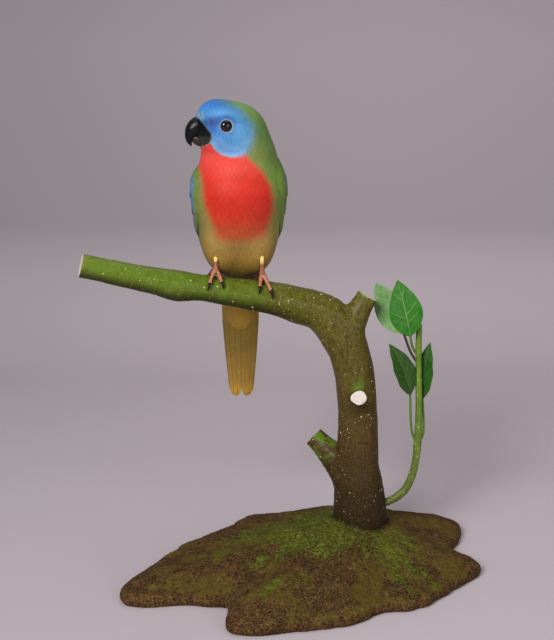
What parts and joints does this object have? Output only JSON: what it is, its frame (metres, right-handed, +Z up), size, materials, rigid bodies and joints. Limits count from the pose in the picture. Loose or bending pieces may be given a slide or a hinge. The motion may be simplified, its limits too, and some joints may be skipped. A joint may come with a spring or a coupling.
{
  "type": "bird carving",
  "caption": "Carved and painted wooden parakeet perched on a sawn branch with a leafy sprig, on a low irregular mossy ground base.",
  "frame": {"origin": "middle of the bounding box in plan, at the level that the base stands on", "axes": "+Z up and the longest extent, +Y back and the shortest extent, +X to the right of someone facing the bird's breast"},
  "size_m": [0.2474, 0.1798, 0.2941],
  "materials": {
    "feathers": "satin paint over carved feathers",
    "eye_glass": "gloss, dark brown",
    "foot_skin": "satin flesh-coloured paint",
    "bark": "satin paint, semi-gloss in places",
    "ground": "matt gritty paint with moss green",
    "stem_green": "satin paint",
    "leaf_green": "satin paint"
  },
  "bodies": {
    "root": {"bird": "feathers", "branch": "bark", "eye_left": "eye_glass", "eye_right": "eye_glass", "foot_left": "foot_skin", "foot_right": "foot_skin", "ground_base": "ground", "leaf_lower_left": "leaf_green", "leaf_lower_right": "leaf_green", "leaf_upper_back": "leaf_green", "leaf_upper_front": "leaf_green", "sprig_stem": "stem_green"}
  },
  "joints": []
}
